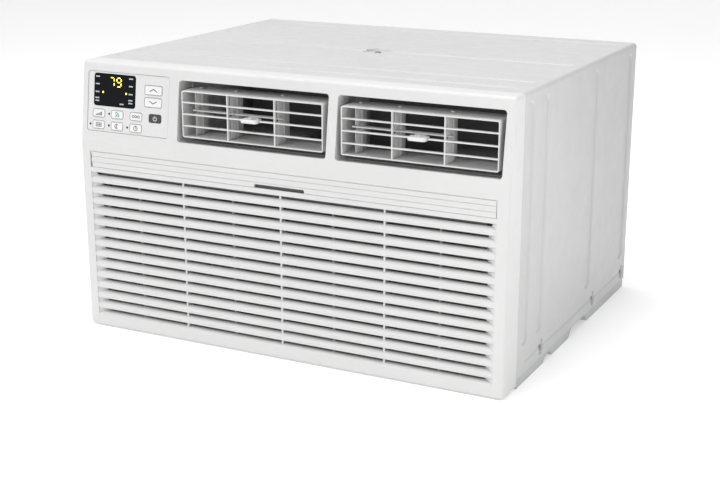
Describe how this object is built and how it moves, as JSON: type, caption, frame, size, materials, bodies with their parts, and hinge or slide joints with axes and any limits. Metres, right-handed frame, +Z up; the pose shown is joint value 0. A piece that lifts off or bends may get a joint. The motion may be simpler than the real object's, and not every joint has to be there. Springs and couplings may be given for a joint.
{
  "type": "window air conditioner",
  "caption": "Window or through-wall room air conditioner: slatted intake front, two tilting louvre outlets, key panel with display, ribbed steel cabinet, rear coil guard.",
  "frame": {"origin": "centre of the footprint on the surface the unit stands on", "axes": "+Z up, front face and louvres towards -Y, +X to the right of someone facing the front"},
  "size_m": [0.615, 0.5, 0.368],
  "materials": {
    "bezel_plastic": "fine satin moulding texture",
    "knob_plastic": "smooth silver-white",
    "key_plastic": "smooth matt",
    "power_key_plastic": "smooth matt",
    "display_plastic": "polished",
    "lens_plastic": "polished",
    "cabinet_paint": "satin powder coat",
    "pan_steel": "galvanised",
    "duct_plastic": "matt moulding",
    "fan_plastic": "matt",
    "filter_plastic": "matt",
    "filter_net": "fine woven net",
    "fin_aluminium": "thin plain fins",
    "copper": "drawn tube",
    "compressor_paint": "satin black",
    "rubber": "matt",
    "zinc": "zinc plated",
    "motor_steel": "plain steel shell",
    "shaft_steel": "ground",
    "board_laminate": "laminate",
    "capacitor_can": "drawn can",
    "cover_plastic": "matt",
    "guard_paint": "satin powder coat"
  },
  "bodies": {
    "chassis": {"base_pan": "pan_steel", "cabinet": "cabinet_paint", "front_bezel": "bezel_plastic", "control_panel": "bezel_plastic", "display_window": "display_plastic", "status_lenses": "lens_plastic", "control_housing": "duct_plastic", "control_board": "board_laminate", "run_capacitor": "capacitor_can", "outlet_duct": "duct_plastic", "blower_housing": "duct_plastic", "bulkhead": "pan_steel", "evaporator_core": "fin_aluminium", "evaporator_plates": "fin_aluminium", "evaporator_bends": "copper", "drain_tray": "duct_plastic", "filter_guides": "duct_plastic", "fan_motor": "motor_steel", "motor_bracket": "pan_steel", "condenser_shroud": "duct_plastic", "condenser_core": "fin_aluminium", "condenser_plates": "fin_aluminium", "condenser_bends": "copper", "compressor": "compressor_paint", "compressor_grommets": "rubber", "compressor_studs": "zinc", "terminal_cover": "cover_plastic", "accumulator": "compressor_paint", "suction_line": "copper", "discharge_line": "copper", "rear_guard": "guard_paint", "cable_gland": "rubber", "cabinet_screws": "zinc"},
    "fan": {"motor_shaft": "shaft_steel", "blower_wheel": "fan_plastic", "condenser_fan": "fan_plastic"},
    "filter": {"filter_handle": "bezel_plastic", "filter_frame": "filter_plastic", "filter_mesh": "filter_net"},
    "left_louvre": {"left_cassette": "bezel_plastic"},
    "left_slider": {"left_knob": "knob_plastic", "left_link_bar": "bezel_plastic"},
    "left_vane_1": {"left_vane_1": "bezel_plastic"},
    "left_vane_2": {"left_vane_2": "bezel_plastic"},
    "left_vane_3": {"left_vane_3": "bezel_plastic"},
    "right_louvre": {"right_cassette": "bezel_plastic"},
    "right_slider": {"right_knob": "knob_plastic", "right_link_bar": "bezel_plastic"},
    "right_vane_1": {"right_vane_1": "bezel_plastic"},
    "right_vane_2": {"right_vane_2": "bezel_plastic"},
    "right_vane_3": {"right_vane_3": "bezel_plastic"},
    "button_fan_speed_body": {"button_fan_speed": "key_plastic"},
    "button_eco_body": {"button_eco": "key_plastic"},
    "button_mode_body": {"button_mode": "key_plastic"},
    "button_power_body": {"button_power": "power_key_plastic"},
    "button_filter_body": {"button_filter": "key_plastic"},
    "button_sleep_body": {"button_sleep": "key_plastic"},
    "button_timer_body": {"button_timer": "key_plastic"},
    "button_up_body": {"button_up": "key_plastic"},
    "button_down_body": {"button_down": "key_plastic"}
  },
  "joints": [
    {"name": "fan_spin", "type": "hinge", "parent": "chassis", "child": "fan", "pos_m": [0.072, 0, 0.155], "axis": [0, 1, 0], "continuous": true},
    {"name": "filter_slide", "type": "slide", "parent": "chassis", "child": "filter", "axis": [0, -0.2756, 0.9613], "range_m": [0, 0.19]},
    {"name": "left_louvre_tilt", "type": "hinge", "parent": "chassis", "child": "left_louvre", "pos_m": [-0.0437, -0.22271, 0.31009], "axis": [1, 0, 0], "range_deg": [-18, 18]},
    {"name": "left_knob_slide", "type": "slide", "parent": "left_louvre", "child": "left_slider", "axis": [1, 0, 0], "range_m": [-0.007, 0.007]},
    {"name": "left_vane_1_turn", "type": "hinge", "parent": "left_louvre", "child": "left_vane_1", "pos_m": [-0.1307, -0.21971, 0.31009], "axis": [0, 0, 1], "range_deg": [-41, 41]},
    {"name": "left_vane_2_turn", "type": "hinge", "parent": "left_louvre", "child": "left_vane_2", "pos_m": [-0.078, -0.21971, 0.31009], "axis": [0, 0, 1], "range_deg": [-41, 41]},
    {"name": "left_vane_3_turn", "type": "hinge", "parent": "left_louvre", "child": "left_vane_3", "pos_m": [-0.0094, -0.21971, 0.31009], "axis": [0, 0, 1], "range_deg": [-41, 41]},
    {"name": "right_louvre_tilt", "type": "hinge", "parent": "chassis", "child": "right_louvre", "pos_m": [0.1872, -0.22271, 0.31009], "axis": [1, 0, 0], "range_deg": [-18, 18]},
    {"name": "right_knob_slide", "type": "slide", "parent": "right_louvre", "child": "right_slider", "axis": [1, 0, 0], "range_m": [-0.007, 0.007]},
    {"name": "right_vane_1_turn", "type": "hinge", "parent": "right_louvre", "child": "right_vane_1", "pos_m": [0.1002, -0.21971, 0.31009], "axis": [0, 0, 1], "range_deg": [-41, 41]},
    {"name": "right_vane_2_turn", "type": "hinge", "parent": "right_louvre", "child": "right_vane_2", "pos_m": [0.1529, -0.21971, 0.31009], "axis": [0, 0, 1], "range_deg": [-41, 41]},
    {"name": "right_vane_3_turn", "type": "hinge", "parent": "right_louvre", "child": "right_vane_3", "pos_m": [0.2215, -0.21971, 0.31009], "axis": [0, 0, 1], "range_deg": [-41, 41]},
    {"name": "button_fan_speed_press", "type": "slide", "parent": "chassis", "child": "button_fan_speed_body", "axis": [0, 0.9908, -0.1351], "range_m": [0, 0.0012], "stiffness_N_per_m": 400},
    {"name": "button_eco_press", "type": "slide", "parent": "chassis", "child": "button_eco_body", "axis": [0, 0.9908, -0.1351], "range_m": [0, 0.0012], "stiffness_N_per_m": 400},
    {"name": "button_mode_press", "type": "slide", "parent": "chassis", "child": "button_mode_body", "axis": [0, 0.9908, -0.1351], "range_m": [0, 0.0012], "stiffness_N_per_m": 400},
    {"name": "button_power_press", "type": "slide", "parent": "chassis", "child": "button_power_body", "axis": [0, 0.9908, -0.1351], "range_m": [0, 0.0012], "stiffness_N_per_m": 400},
    {"name": "button_filter_press", "type": "slide", "parent": "chassis", "child": "button_filter_body", "axis": [0, 0.9908, -0.1351], "range_m": [0, 0.0012], "stiffness_N_per_m": 400},
    {"name": "button_sleep_press", "type": "slide", "parent": "chassis", "child": "button_sleep_body", "axis": [0, 0.9908, -0.1351], "range_m": [0, 0.0012], "stiffness_N_per_m": 400},
    {"name": "button_timer_press", "type": "slide", "parent": "chassis", "child": "button_timer_body", "axis": [0, 0.9908, -0.1351], "range_m": [0, 0.0012], "stiffness_N_per_m": 400},
    {"name": "button_up_press", "type": "slide", "parent": "chassis", "child": "button_up_body", "axis": [0, 0.9908, -0.1351], "range_m": [0, 0.0012], "stiffness_N_per_m": 400},
    {"name": "button_down_press", "type": "slide", "parent": "chassis", "child": "button_down_body", "axis": [0, 0.9908, -0.1351], "range_m": [0, 0.0012], "stiffness_N_per_m": 400}
  ],
  "couplings": [
    {"joint": "left_vane_1_turn", "follows": "left_knob_slide", "rad_per_m": 100},
    {"joint": "left_vane_2_turn", "follows": "left_knob_slide", "rad_per_m": 100},
    {"joint": "left_vane_3_turn", "follows": "left_knob_slide", "rad_per_m": 100},
    {"joint": "right_vane_1_turn", "follows": "right_knob_slide", "rad_per_m": 100},
    {"joint": "right_vane_2_turn", "follows": "right_knob_slide", "rad_per_m": 100},
    {"joint": "right_vane_3_turn", "follows": "right_knob_slide", "rad_per_m": 100}
  ]
}
